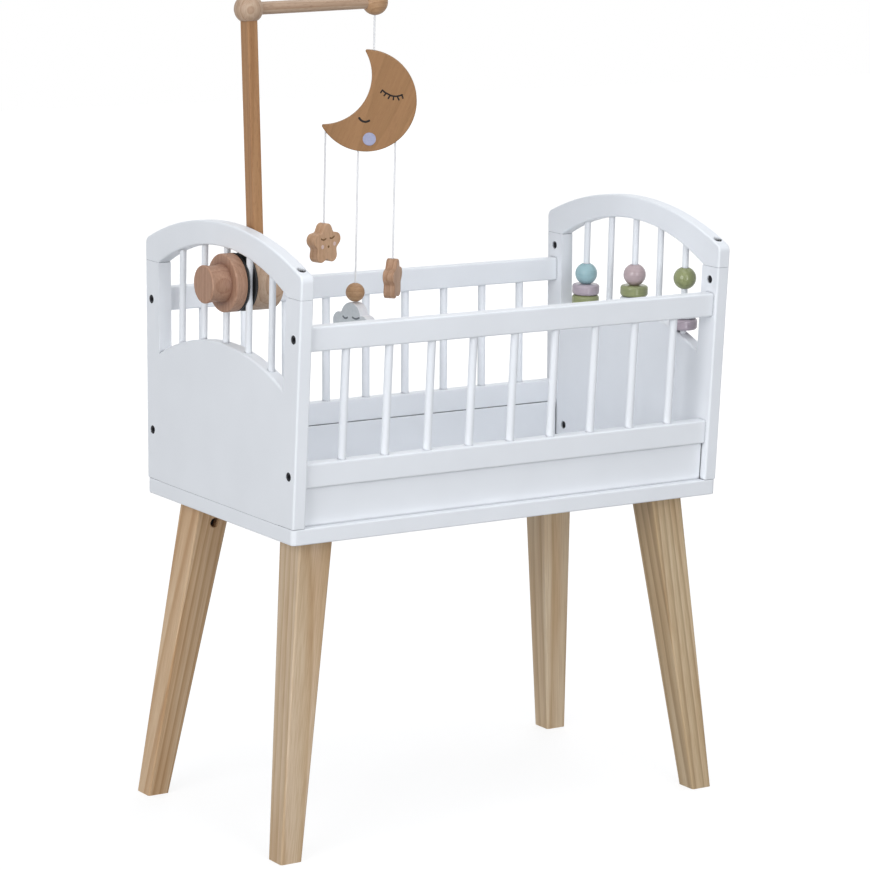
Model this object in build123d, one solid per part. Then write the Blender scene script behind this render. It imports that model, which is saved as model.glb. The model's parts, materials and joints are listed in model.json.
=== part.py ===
from build123d import *
import os
from math import cos, pi, radians, sin, sqrt, tan

# A doll's bed: two arched end panels and two slatted sides on a board with four splayed legs.
# A mobile is clamped to the head end, and beads slide on three spindles of the foot end.
# Millimetres. +X runs along the bed from head to foot, the front is -Y and +Z is up.
# The origin lies on the floor, under the middle of the bed's outer box.

# Deck, the board that carries everything
bed_length = 500.0
deck_width = 273.0
deck_thickness = 15.5
deck_underside = 307.0
deck_corner = 5.0
deck_edge = 1.5

# Legs, square and tapered, that splay outwards both ways
leg_foot_side = 23.3
leg_top_side = 36.9
leg_top_inset_x = 24.2
leg_top_inset_y = 25.5
leg_foot_reach_x = 8.1
leg_foot_reach_y = 1.9
leg_edge = 2.0
leg_nut_drop = 24.0
leg_pin_offset = 10.0

# End panels, which flare towards the top
panel_thickness = 14.0
flare_angle = 2.1
post_width = 25.5
post_height = 216.5
arch_side_rise = 21.0
arch_crest_rise = 54.0
arch_hollow_rise = 31.0
arch_shoulder_round = 8.0
panel_edge = 2.0
joint_edge = 0.6
end_board_drop = 61.0
end_board_arc_radius = 255.0
end_board_pin_shares = (0.215, 0.807)

# Spindles of the end panels
spindle_diameter = 6.5
spindle_edge_gap = 36.0
spindle_count = 5
spindle_seat = 8.0

# Side frames, which lean with the panels
side_recess = 4.5
side_section = 13.0
side_rail_drop = 26.5
side_bar_top = 60.5
side_rail_height = 23.5
side_edge = 2.0
side_dowel_diameter = 8.0
side_dowel_end_gap = 44.0
side_dowel_count = 9
side_dowel_seat = 8.0
plank_recess = 4.0
plank_thickness = 10.0
plank_end_gap = 1.0
plank_edge = 1.0
plank_pin_end_gap = 86.0
plank_pin_count = 3

# Bolts, barrel nuts and locating pins
bolt_diameter = 5.0
bolt_head_diameter = 8.5
bolt_head_height = 4.0
bolt_socket_width = 4.0
bolt_socket_depth = 2.5
bolt_sink = 0.5
arch_bolt_sink = 3.5
arch_nut_drop = 13.3
side_nut_reach = 20.0
deck_bolt_inset = 5.5
deck_nut_rise = 14.4
bolt_past_nut = 1.0
nut_diameter = 8.0
leg_nut_diameter = 10.0
nut_length = 10.0
nut_slot_width = 1.2
nut_slot_depth = 1.0
nut_cover = 0.5
pin_diameter = 6.0
pin_length = 20.0
fit_gap = 0.05

# Beads on the foot end's spindles
ring_diameter = 28.5
ring_height = 11.5
ring_round = 3.2
bead_ball_diameter = 23.0
bead_ball_height = 21.0
bead_bore_gap = 0.3
bead_bore_chamfer = 0.8
bead_rest_gap = 0.1
front_ball_lift = 18.2

# Clamp of the mobile, round the middle of two spindles of the head end
clamp_arch_gap = 2.4
clamp_diameter = 55.5
clamp_flange_thickness = 12.7
clamp_pad_thickness = 2.0
clamp_block_length = 29.3
clamp_edge = 1.5
knob_diameter = 37.2
knob_length = 20.3
knob_waist_depth = 1.5
knob_edge = 1.5
clamp_bolt_diameter = 8.0
clamp_bolt_in_block = 18.0
clamp_bolt_past_pad = 26.0
clamp_bolt_end_room = 1.5
knob_insert_diameter = 12.0
knob_insert_length = 14.0
thread_gap = 0.1

# Mast and arm of the mobile
mast_width = 14.0
mast_depth = 11.0
mast_edge = 1.2
mast_lean = 2.8
mast_foot_above_axis = 9.0
mast_ball_diameter = 27.5
mast_ball_height = 256.3
mast_ball_flat_drop = 10.5
swivel_peg_diameter = 8.0
swivel_peg_in_mast = 12.0
swivel_peg_in_ball = 9.0
swivel_gap = 0.2
arm_diameter = 12.0
arm_span = 140.0
arm_rise = 1.5
arm_seat = 7.0
end_ball_diameter = 25.0

# Moon and what hangs from it, on strings
pendant_turn = -33.0
string_diameter = 2.0
string_hole_diameter = 3.0
string_seat = 3.0
string_hole_end_room = 0.8
moon_string_length = 33.3
moon_radius = 48.7
moon_hang_share = 0.1376
moon_bite_radius_share = 0.971
moon_bite_out_share = 0.8645
moon_bite_up_share = 0.4825
moon_thickness = 8.0
moon_tip_round = 1.2
moon_edge = 0.8
left_string_share = -0.782
middle_string_share = -0.1355
right_string_share = 0.5955
left_string_length = 88.5
middle_string_length = 128.2
right_string_length = 112.8
star_radius = 28.4
star_notch_share = 0.5
star_tip_round_share = 0.23
star_notch_round_share = 0.0926
star_thickness = 11.0
star_edge = 1.2
star_points = 5
left_star_turn = 50.0
right_star_turn = 77.0
string_ball_diameter = 18.4
cloud_gap = 0.4
cloud_thickness = 11.0
cloud_dome_radius = 15.0
cloud_lobe_radius = 9.5
cloud_lobe_offset = 17.5
cloud_height = 30.0
cloud_edge = 1.0
cloud_turn = -50.0

# Worked out from the sizes above
half_length = bed_length / 2
half_width = deck_width / 2
deck_top = deck_underside + deck_thickness
flare = tan(radians(flare_angle))
joint_height = deck_top + post_height
shoulder_height = joint_height + arch_side_rise
crest_height = joint_height + arch_crest_rise
hollow_height = joint_height + arch_hollow_rise
board_crest_height = joint_height - end_board_drop
inner_face = half_length - panel_thickness
panel_middle = half_length - panel_thickness / 2
side_rail_top = post_height - side_rail_drop
side_dowel_pitch = 2 * (inner_face - side_dowel_end_gap) / (side_dowel_count - 1)
plank_pin_pitch = 2 * (inner_face - plank_pin_end_gap) / (plank_pin_count - 1)
cut_overrun = 5.0


def panel_half_width(height):
    """Half the width of an end panel's outline at a height."""
    return half_width + flare * (height - deck_top)


def opening_half_width(height):
    """Half the distance between the two posts of a panel at a height."""
    return panel_half_width(height) - post_width


def arc_radius(half_chord, rise):
    """Radius of an arc from half its chord and its rise."""
    return (half_chord**2 + rise**2) / (2 * rise)


def arc_height(y, crest, radius):
    """Height of an arc with its crest in the middle, at a distance from the middle."""
    return crest - radius + sqrt(radius**2 - y**2)


arch_radius = arc_radius(panel_half_width(shoulder_height), crest_height - shoulder_height)
hollow_radius = arc_radius(opening_half_width(joint_height), hollow_height - joint_height)
spindle_pitch = 2 * (opening_half_width(joint_height) - spindle_edge_gap) / (spindle_count - 1)


def arch_top(y):
    return arc_height(y, crest_height, arch_radius)


def arch_underside(y):
    return arc_height(y, hollow_height, hollow_radius)


def board_top(y):
    return arc_height(y, board_crest_height, end_board_arc_radius)


# Helpers for placing pieces


def at_axis(origin, direction):
    """Location at a point whose local Z points along a direction."""
    return Plane(origin=origin, z_dir=direction).location


def rod(diameter, low, high):
    """Round bar along local Z from low to high."""
    return Pos(0, 0, (low + high) / 2) * Cylinder(diameter / 2, high - low)


def to_back(shape):
    return mirror(shape, about=Plane.XZ)


def to_foot(shape):
    return mirror(shape, about=Plane.YZ)


def four_corners(shape):
    """A front head-end shape and its three mirror images."""
    return [shape, to_back(shape), to_foot(shape), to_foot(to_back(shape))]


def cut(shape, cutters):
    """The shape less each cutter."""
    for cutter in cutters:
        shape = shape - cutter
    return shape


def group(shapes):
    """Separate solids, side by side in one piece of the list."""
    return Compound([solid for shape in shapes for solid in shape.solids()])


# Fasteners


def socket_bolt(length):
    """Bolt with a socket head: the head's face is at local Z 0 and the shank runs down."""
    bolt = rod(bolt_head_diameter, -bolt_head_height, 0) + rod(bolt_diameter, -length, -bolt_head_height)
    hexagon = RegularPolygon(bolt_socket_width / sqrt(3), 6)
    return bolt - Pos(0, 0, -bolt_socket_depth) * extrude(hexagon, bolt_socket_depth)


def bolt_hole(length, sink):
    """Clearance for a socket bolt whose head lies sunk below a surface at local Z 0."""
    head_room = rod(bolt_head_diameter + 2 * fit_gap, -sink - bolt_head_height, cut_overrun)
    return head_room + rod(bolt_diameter + 2 * fit_gap, -sink - length - bolt_past_nut, -sink)


def barrel_nut(bolt_direction, diameter):
    """Barrel nut centred on its own axis, local Z, with its cross hole along a local direction."""
    nut = rod(diameter, -nut_length / 2, nut_length / 2)
    slot = Pos(0, 0, nut_length / 2) * Box(diameter, nut_slot_width, 2 * nut_slot_depth)
    cross = rod(bolt_diameter + 2 * fit_gap, -diameter, diameter)
    return nut - slot - at_axis((0, 0, 0), bolt_direction) * cross


def nut_hole(reach, diameter):
    """Hole for a barrel nut, from just behind it to its mouth at a distance."""
    return rod(diameter + 2 * fit_gap, -nut_length / 2 - nut_cover, reach + cut_overrun)


def pin(centre, direction):
    """Wooden locating pin."""
    return at_axis(centre, direction) * rod(pin_diameter, -pin_length / 2, pin_length / 2)


def pin_hole(centre, direction):
    half = pin_length / 2 + nut_cover
    return at_axis(centre, direction) * rod(pin_diameter + 2 * fit_gap, -half, half)


class Joint:
    """A sunk bolt and the barrel nut that it pulls on."""

    def __init__(
        self, surface, outward, reach, nut_axis, mouth, sink=bolt_sink, nut=nut_diameter, frame=Pos()
    ):
        out = Vector(*outward).normalized()
        length = reach + nut / 2 + bolt_past_nut - sink
        centre = Vector(*surface) - out * reach
        axis = Vector(*nut_axis).normalized()
        nut_place = at_axis(centre, axis)
        inverse = Plane(origin=(0, 0, 0), z_dir=axis)
        cross = inverse.to_local_coords(out)
        self.bolt = frame * at_axis(Vector(*surface) - out * sink, out) * socket_bolt(length)
        self.hole = frame * at_axis(surface, out) * bolt_hole(length, sink)
        self.nut = frame * nut_place * barrel_nut(cross, nut)
        self.nut_hole = frame * nut_place * nut_hole(mouth, nut)


# Sites of the fasteners at the front of the head end

lean_up = (0, -sin(radians(flare_angle)), cos(radians(flare_angle)))
side_frame_place = Pos(0, -half_width, deck_top) * Rot(flare_angle, 0, 0)
side_middle = side_recess + side_section / 2
rail_middle_height = side_rail_top - side_rail_height / 2
bar_middle_height = side_bar_top - side_rail_height / 2


def arch_joint():
    """Bolt from the arch's shoulder down the middle of the post."""
    y_joint = -panel_half_width(joint_height) + post_width / 2
    y_top = y_joint - flare * (arch_top(y_joint) - joint_height)
    surface = Vector(-panel_middle, y_top, arch_top(y_top))
    reach = (surface.Z - joint_height + arch_nut_drop) / cos(radians(flare_angle))
    return Joint(surface, lean_up, reach, (1, 0, 0), panel_thickness / 2, sink=arch_bolt_sink)


def side_joint(height):
    """Bolt through the end panel into the end of a side rail, whose nut goes in from below."""
    surface = (-half_length, side_middle, height)
    reach = panel_thickness + side_nut_reach
    return Joint(surface, (-1, 0, 0), reach, (0, 0, -1), side_rail_height / 2, frame=side_frame_place)


def deck_joint():
    """Bolt from under the deck up into the end board."""
    surface = (-panel_middle, deck_bolt_inset - opening_half_width(deck_top), deck_underside)
    return Joint(surface, (0, 0, -1), deck_thickness + deck_nut_rise, (1, 0, 0), panel_thickness / 2)


leg_top_centre = Vector(
    -half_length + leg_top_inset_x + leg_top_side / 2,
    -half_width + leg_top_inset_y + leg_top_side / 2,
    deck_underside,
)
leg_foot_centre = Vector(
    -half_length - leg_foot_reach_x + leg_foot_side / 2,
    -half_width - leg_foot_reach_y + leg_foot_side / 2,
    0,
)


def leg_joint():
    """Bolt from the deck's top down into the leg."""
    surface = (leg_top_centre.X, leg_top_centre.Y, deck_top)
    reach = deck_thickness + leg_nut_drop
    return Joint(surface, (0, 0, 1), reach, (0, 1, 0), leg_top_side / 2, nut=leg_nut_diameter)


arch_bolt_site = arch_joint()
rail_bolt_site = side_joint(rail_middle_height)
bar_bolt_site = side_joint(bar_middle_height)
deck_bolt_site = deck_joint()
leg_bolt_site = leg_joint()

leg_pin_centre = leg_top_centre + Vector(leg_pin_offset, leg_pin_offset, 0)
board_side_height = board_top(opening_half_width(deck_top)) - deck_top
board_pin_levels = [deck_top + share * board_side_height for share in end_board_pin_shares]
board_pin_centres = [Vector(-panel_middle, -opening_half_width(level), level) for level in board_pin_levels]


def plank_pin_centres():
    """Centres of the pins between the plank and the lower bar, in the side frame's plane."""
    depth = side_recess + plank_recess + plank_thickness / 2 - fit_gap
    first = -(plank_pin_count - 1) * plank_pin_pitch / 2
    height = side_bar_top - side_rail_height
    return [Vector(first + i * plank_pin_pitch, depth, height) for i in range(plank_pin_count)]


# Deck and legs


def deck():
    board = extrude(RectangleRounded(bed_length, deck_width, deck_corner), deck_thickness)
    faces = board.faces().sort_by(Axis.Z)
    board = Pos(0, 0, deck_underside) * fillet(faces[-1].edges() + faces[0].edges(), deck_edge)
    holes = [deck_bolt_site.hole, leg_bolt_site.hole, pin_hole(leg_pin_centre, (0, 0, 1))]
    return cut(board, [corner for hole in holes for corner in four_corners(hole)])


def square_corners(centre, side):
    """The corners of a level square, in order."""
    half = side / 2
    return [centre + Vector(x * half, y * half, 0) for x, y in ((-1, -1), (1, -1), (1, 1), (-1, 1))]


def leg():
    """The front leg at the head end: a tapered square bar, cut level at both ends."""
    low, high = square_corners(leg_foot_centre, leg_foot_side), square_corners(leg_top_centre, leg_top_side)
    faces = [Face(Wire.make_polygon([low[i - 1], low[i], high[i], high[i - 1]])) for i in range(len(low))]
    bar = Solid(Shell(faces + [Face(Wire.make_polygon(low)), Face(Wire.make_polygon(high))]))
    bar = fillet([edge for edge in bar.edges() if edge.bounding_box().size.Z > leg_top_side], leg_edge)
    return cut(bar, [leg_bolt_site.hole, leg_bolt_site.nut_hole, pin_hole(leg_pin_centre, (0, 0, 1))])


# End panels, drawn at the head end


def panel_plate(outline):
    """A panel piece: an outline in Y and Z, as thick as the panel."""
    return Pos(-half_length, 0, 0) * extrude(Plane.YZ * outline, panel_thickness)


def post():
    """The front post of the head end. Its ends are eased, so each joint shows as a fine line."""
    foot_y, head_y = -panel_half_width(deck_top), -panel_half_width(joint_height)
    outline = Polygon(
        (foot_y, deck_top),
        (foot_y + post_width, deck_top),
        (head_y + post_width, joint_height),
        (head_y, joint_height),
        align=None,
    )
    plate = panel_plate(outline)
    outer = [edge for edge in plate.edges() if edge.bounding_box().size.Z > post_height / 2]
    plate = fillet([edge for edge in outer if edge.center().Y < foot_y + post_width / 4], panel_edge)
    ends = plate.faces().sort_by(Axis.Z)
    plate = chamfer(ends[0].edges() + ends[-1].edges(), joint_edge)
    sites = (arch_bolt_site, rail_bolt_site, bar_bolt_site)
    holes = [site.hole for site in sites] + [arch_bolt_site.nut_hole]
    return cut(plate, holes + [pin_hole(centre, (0, 1, 0)) for centre in board_pin_centres])


def arch_outline():
    joint_y, shoulder_y = panel_half_width(joint_height), panel_half_width(shoulder_height)
    opening_y = opening_half_width(joint_height)
    outline = [
        Line((-joint_y, joint_height), (-shoulder_y, shoulder_height)),
        ThreePointArc((-shoulder_y, shoulder_height), (0, crest_height), (shoulder_y, shoulder_height)),
        Line((shoulder_y, shoulder_height), (joint_y, joint_height)),
        Line((joint_y, joint_height), (opening_y, joint_height)),
        ThreePointArc((opening_y, joint_height), (0, hollow_height), (-opening_y, joint_height)),
        Line((-opening_y, joint_height), (-joint_y, joint_height)),
    ]
    face = make_face(outline)
    shoulders = [corner for corner in face.vertices() if abs(corner.Y - shoulder_height) < panel_edge]
    return fillet(shoulders, arch_shoulder_round)


def arch():
    plate = panel_plate(arch_outline())
    rim = [
        edge
        for edge in plate.edges()
        if edge.bounding_box().size.X < panel_edge and edge.bounding_box().size.Z > panel_edge
    ]
    plate = fillet(rim, panel_edge)
    cutters = [arch_bolt_site.hole, to_back(arch_bolt_site.hole)]
    return cut(plate, cutters + spindle_seats())


def end_board():
    """The solid lower board between the posts, with an arched top edge."""
    low_y, high_y = opening_half_width(deck_top), opening_half_width(board_crest_height)
    low = [(-low_y, deck_top), (low_y, deck_top)]
    high = [(high_y, board_crest_height), (-high_y, board_crest_height)]
    disc = Pos(0, board_crest_height - end_board_arc_radius) * Circle(end_board_arc_radius)
    plate = panel_plate(Polygon(*low, *high, align=None) & disc)
    arcs = [edge for edge in plate.edges() if edge.bounding_box().size.Y > low_y]
    rim = [arc for arc in arcs if arc.center().Z > board_top(low_y)]
    plate = fillet(rim, panel_edge)
    cutters = [deck_bolt_site.hole, deck_bolt_site.nut_hole]
    cutters += [pin_hole(centre, (0, 1, 0)) for centre in board_pin_centres]
    cutters += [to_back(cutter) for cutter in cutters]
    return cut(plate, cutters + spindle_seats())


spindle_places = [(i - (spindle_count - 1) / 2) * spindle_pitch for i in range(spindle_count)]


def spindle(y, extra=0.0, play=0.0):
    low = board_top(y) - spindle_seat - play
    high = arch_underside(y) + spindle_seat + play
    return Pos(-panel_middle, y, 0) * rod(spindle_diameter + 2 * extra, low, high)


def spindle_seats():
    return [spindle(y, extra=fit_gap, play=nut_cover) for y in spindle_places]


# Side frames, drawn at the front


def side_bar(top):
    """A rail of the side frame, in the frame's own plane, under a height above the deck."""
    bar = Box(2 * inner_face, side_section, side_rail_height)
    bar = fillet(bar.edges().filter_by(Axis.X), side_edge)
    return Pos(0, side_middle, top - side_rail_height / 2) * bar


def end_cutters(site):
    """The bolt and nut holes at both ends of a rail."""
    return [site.hole, site.nut_hole, to_foot(site.hole), to_foot(site.nut_hole)]


side_dowel_places = [(i - (side_dowel_count - 1) / 2) * side_dowel_pitch for i in range(side_dowel_count)]


def side_dowel(x, extra=0.0, play=0.0):
    low = side_bar_top - side_dowel_seat - play
    high = side_rail_top - side_rail_height + side_dowel_seat + play
    return Pos(x, side_middle, 0) * rod(side_dowel_diameter + 2 * extra, low, high)


def side_rail(top, site):
    seats = [side_dowel(x, extra=fit_gap, play=nut_cover) for x in side_dowel_places]
    rail = cut(side_bar(top), seats + [pin_hole(centre, (0, 0, 1)) for centre in plank_pin_centres()])
    return cut(side_frame_place * rail, end_cutters(site))


def plank():
    """The plank under the lower bar, set back from it and standing on the deck."""
    height = side_bar_top - side_rail_height
    length = 2 * (inner_face - plank_end_gap)
    board = Box(length, plank_thickness, height + cut_overrun)
    board = fillet(board.edges().filter_by(Axis.X).group_by(Axis.Z)[-1], plank_edge)
    middle = side_recess + plank_recess + plank_thickness / 2
    board = Pos(0, middle, (height - cut_overrun) / 2) * board
    board = cut(board, [pin_hole(centre, (0, 0, 1)) for centre in plank_pin_centres()])
    board = side_frame_place * board
    below = Pos(0, 0, deck_top - deck_thickness) * Box(bed_length, 2 * deck_width, 2 * deck_thickness)
    return board - below


# Beads, drawn on the foot end's spindles


def bead_bore(height):
    """Bore with a chamfered mouth at each end, for a bead of a height centred on local Z 0."""
    radius = spindle_diameter / 2 + bead_bore_gap
    bore = Cylinder(radius, height + cut_overrun)
    mouth = Cone(radius, radius + bead_bore_chamfer, bead_bore_chamfer)
    mouth = Pos(0, 0, (height - bead_bore_chamfer) / 2) * mouth
    return bore + mouth + mirror(mouth, about=Plane.XY)


def ring():
    disc = Cylinder(ring_diameter / 2, ring_height)
    return fillet(disc.edges(), ring_round) - bead_bore(ring_height)


def bead_ball():
    ball = Sphere(bead_ball_diameter / 2) & Cylinder(bead_ball_diameter, bead_ball_height)
    return ball - bead_bore(bead_ball_height)


def ring_rest(y):
    """Height of the underside of a ring that rests on the end board's arc at a spindle."""
    reach = max(abs(y) - (ring_diameter / 2 - ring_round), 0)
    radius = end_board_arc_radius + ring_round + bead_rest_gap
    return board_crest_height - end_board_arc_radius + sqrt(radius**2 - reach**2) - ring_round


def bead_heights(y, ball_lift):
    """Heights of the middles of the lower ring, the upper ring and the ball on a spindle."""
    lower = ring_rest(y) + ring_height / 2
    upper = lower + ring_height + bead_rest_gap
    ball = upper + ring_height / 2 + bead_rest_gap + bead_ball_height / 2 + ball_lift
    return lower, upper, ball


bead_spindles = {"back": spindle_places[4], "middle": spindle_places[2], "front": spindle_places[0]}
bead_lifts = {"back": 0, "middle": 0, "front": front_ball_lift}


def beads():
    """The rings and balls, by name."""
    pieces = {}
    for place, y in bead_spindles.items():
        lower, upper, ball = bead_heights(y, bead_lifts[place])
        pieces[place + "_ring_lower"] = Pos(panel_middle, y, lower) * ring()
        pieces[place + "_ring_upper"] = Pos(panel_middle, y, upper) * ring()
        pieces[place + "_ball"] = Pos(panel_middle, y, ball) * bead_ball()
    return pieces


# Clamp of the mobile, along X from the outside to the inside

clamp_y = -spindle_pitch / 2
clamp_height = arch_underside(clamp_y) - clamp_arch_gap - clamp_diameter / 2
spindle_outer = -panel_middle - spindle_diameter / 2
spindle_inner = -panel_middle + spindle_diameter / 2
pad_outer = spindle_outer - clamp_pad_thickness
block_start = spindle_inner + clamp_pad_thickness
block_end = block_start + clamp_block_length
flange_face = pad_outer - clamp_flange_thickness
knob_face = flange_face - knob_length
bolt_tip = pad_outer - clamp_bolt_past_pad
clamp_place = Pos(0, clamp_y, clamp_height)


def turned(diameter, start, end):
    """Round bar along X, on the clamp's axis."""
    return Pos((start + end) / 2, clamp_y, clamp_height) * Rot(0, 90, 0) * Cylinder(diameter / 2, end - start)


def clamp_pad(start):
    end = start + clamp_pad_thickness
    bore = turned(clamp_bolt_diameter + 2 * bead_bore_gap, start - cut_overrun, end + cut_overrun)
    return turned(clamp_diameter, start, end) - bore


def clamp_knob():
    """Flange and waisted knob, turned in one piece, with a blind bore."""
    flange, head = clamp_diameter / 2, knob_diameter / 2
    waist = head - knob_waist_depth
    middle = (flange_face + knob_face) / 2
    outline = [
        Line((pad_outer, 0), (pad_outer, flange)),
        Line((pad_outer, flange), (flange_face, flange)),
        Line((flange_face, flange), (flange_face, head)),
        ThreePointArc((flange_face, head), (middle, waist), (knob_face, head)),
        Line((knob_face, head), (knob_face, 0)),
        Line((knob_face, 0), (pad_outer, 0)),
    ]
    body = revolve(make_face(outline), Axis.X, 360)
    circles = body.edges().filter_by(GeomType.CIRCLE)
    rims = [circle for circle in circles if circle.radius > flange - clamp_edge]
    outer = [circle for circle in circles if circle.center().X < middle]
    rims += [circle for circle in outer if circle.radius > head - clamp_edge / 2]
    body = clamp_place * fillet(rims, clamp_edge)
    insert_start = pad_outer - knob_insert_length
    insert = turned(knob_insert_diameter + 2 * fit_gap, insert_start, pad_outer + cut_overrun)
    bore = turned(clamp_bolt_diameter + 2 * bead_bore_gap, bolt_tip - clamp_bolt_end_room, pad_outer)
    return body - insert - bore


def knob_insert():
    """Threaded metal insert in the knob."""
    start = pad_outer - knob_insert_length
    thread = turned(clamp_bolt_diameter + 2 * thread_gap, start - cut_overrun, pad_outer + cut_overrun)
    return turned(knob_insert_diameter, start, pad_outer) - thread


def clamp_bolt():
    return turned(clamp_bolt_diameter, bolt_tip, block_start + clamp_bolt_in_block)


# Mast, leaning away from the bed

mast_x = (block_start + block_end) / 2
mast_place = Pos(mast_x, clamp_y, clamp_height) * Rot(0, -mast_lean, 0)
mast_top = mast_ball_height - mast_ball_flat_drop - swivel_gap


def mast_bar(extra=0.0, top=mast_top):
    """The square mast along its own leaning axis."""
    height = top - mast_foot_above_axis + extra
    bar = Box(mast_depth + 2 * extra, mast_width + 2 * extra, height)
    return Pos(0, 0, (top + mast_foot_above_axis - extra) / 2) * bar


def clamp_block():
    body = turned(clamp_diameter, block_start, block_end)
    body = fillet(body.edges().filter_by(GeomType.CIRCLE), clamp_edge)
    seat_end = block_start + clamp_bolt_in_block + nut_cover
    seat = turned(clamp_bolt_diameter + 2 * fit_gap, block_start - cut_overrun, seat_end)
    return body - seat - mast_place * mast_bar(extra=fit_gap)


def mast_post():
    bar = mast_bar()
    bar = fillet(bar.edges().filter_by(Axis.Z), mast_edge)
    hole_foot = mast_top - swivel_peg_in_mast - nut_cover
    hole = rod(swivel_peg_diameter + 2 * fit_gap, hole_foot, mast_top + cut_overrun)
    return mast_place * (bar - hole)


def swivel_peg():
    low, high = mast_top - swivel_peg_in_mast, mast_top + swivel_gap + swivel_peg_in_ball
    return mast_place * rod(swivel_peg_diameter, low, high)


mast_ball_centre = (mast_place * Pos(0, 0, mast_ball_height)).position
arm_direction = Vector(cos(radians(arm_rise)), 0, sin(radians(arm_rise)))
end_ball_centre = mast_ball_centre + arm_direction * (arm_span / cos(radians(arm_rise)))
arm_length = (end_ball_centre - mast_ball_centre).length
arm_start = mast_ball_diameter / 2 - arm_seat
arm_end = arm_length - end_ball_diameter / 2 + arm_seat


def arm_bar(extra=0.0, play=0.0):
    bar = rod(arm_diameter + 2 * extra, arm_start - play, arm_end + play)
    return at_axis(mast_ball_centre, arm_direction) * bar


def mast_ball():
    """The ball that turns on the mast's peg and holds the arm."""
    above_flat = Pos(0, 0, mast_ball_diameter / 2 - mast_ball_flat_drop) * Box(*3 * [mast_ball_diameter])
    hole_top = swivel_peg_in_ball - mast_ball_flat_drop + nut_cover
    hole = rod(swivel_peg_diameter + 2 * thread_gap, -mast_ball_diameter, hole_top)
    ball = (Sphere(mast_ball_diameter / 2) & above_flat) - hole
    return mast_place * Pos(0, 0, mast_ball_height) * ball - arm_bar(extra=fit_gap, play=nut_cover)


def end_ball():
    ball = Pos(end_ball_centre) * Sphere(end_ball_diameter / 2)
    hole = Pos(string_top) * rod(string_hole_diameter, -cut_overrun, string_seat + string_hole_end_room)
    return ball - arm_bar(extra=fit_gap, play=nut_cover) - hole


# Strings and pendants. Each pendant is drawn in X and Z about the point where its string enters

string_top = end_ball_centre - Vector(0, 0, end_ball_diameter / 2)
moon_centre_offset = -moon_hang_share * moon_radius
moon_rise = sqrt(moon_radius**2 - moon_centre_offset**2)
moon_centre = string_top - Vector(0, 0, moon_string_length + moon_rise)
moon_place = Pos(moon_centre) * Rot(0, 0, pendant_turn)


def moon_foot_point(share):
    """Where a string leaves the moon's lower edge, at a share of its radius from its middle."""
    offset = moon_centre_offset + share * moon_radius
    return (moon_place * Pos(offset, 0, -moon_radius * sqrt(1 - share**2))).position


moon_top = string_top - Vector(0, 0, moon_string_length)
left_string_top = moon_foot_point(left_string_share)
middle_string_top = moon_foot_point(middle_string_share)
right_string_top = moon_foot_point(right_string_share)
left_string_foot = left_string_top - Vector(0, 0, left_string_length)
middle_string_foot = middle_string_top - Vector(0, 0, middle_string_length)
right_string_foot = right_string_top - Vector(0, 0, right_string_length)
string_ball_centre = middle_string_foot - Vector(0, 0, string_ball_diameter / 2)
cloud_top = string_ball_centre - Vector(0, 0, string_ball_diameter / 2 + cloud_gap)


def string(top, foot):
    """A straight string with its ends seated in the holes of what it joins."""
    return Pos(foot.X, foot.Y, 0) * rod(string_diameter, foot.Z - string_seat, top.Z + string_seat)


def string_hole(mouth, side):
    """Hole for a string's end, up or down from its mouth."""
    depth = string_seat + string_hole_end_room
    low, high = (-depth, cut_overrun) if side < 0 else (-cut_overrun, depth)
    return Pos(mouth) * rod(string_hole_diameter, low, high)


def flat_shape(outline, thickness, edge):
    """A flat piece from an outline in X and Z, centred on Y, with rounded rims."""
    plate = extrude(Plane.XZ * outline, thickness / 2, both=True)
    rims = [rim for rim in plate.edges() if rim.bounding_box().size.Y < thickness / 2]
    return fillet(rims, edge)


def moon():
    disc = Pos(moon_centre_offset, 0) * Circle(moon_radius)
    bite_x = moon_centre_offset - moon_bite_out_share * moon_radius
    bite = Circle(moon_bite_radius_share * moon_radius)
    crescent = disc - Pos(bite_x, moon_bite_up_share * moon_radius) * bite
    crescent = fillet(crescent.vertices(), moon_tip_round)
    body = moon_place * flat_shape(crescent, moon_thickness, moon_edge)
    feet = (left_string_top, middle_string_top, right_string_top)
    return cut(body, [string_hole(moon_top, -1)] + [string_hole(foot, 1) for foot in feet])


def star_outline():
    """A blunt star with its top point up, about its own centre."""
    points = []
    for i in range(2 * star_points):
        reach = star_radius if i % 2 == 0 else star_radius * star_notch_share
        turn = pi / 2 + i * pi / star_points
        points.append((reach * cos(turn), reach * sin(turn)))
    outline = Polygon(*points, align=None)
    middle = star_radius * (1 + star_notch_share) / 2
    tips = [corner for corner in outline.vertices() if corner.X**2 + corner.Y**2 > middle**2]
    outline = fillet(tips, star_radius * star_tip_round_share)
    notch_reach = star_radius * star_notch_share + star_edge / 2
    notches = [corner for corner in outline.vertices() if corner.X**2 + corner.Y**2 < notch_reach**2]
    return fillet(notches, star_radius * star_notch_round_share)


def star(foot, turn):
    """A star whose top point takes the string at a point, turned about the string."""
    outline = star_outline()
    top = outline.bounding_box().max.Y
    body = flat_shape(outline, star_thickness, star_edge)
    body = Pos(foot) * Rot(0, 0, pendant_turn + turn) * Pos(0, 0, -top) * body
    return body - string_hole(foot, -1)


def string_ball():
    bore = Cylinder(string_hole_diameter / 2, string_ball_diameter + cut_overrun)
    return Pos(string_ball_centre) * (Sphere(string_ball_diameter / 2) - bore)


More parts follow.
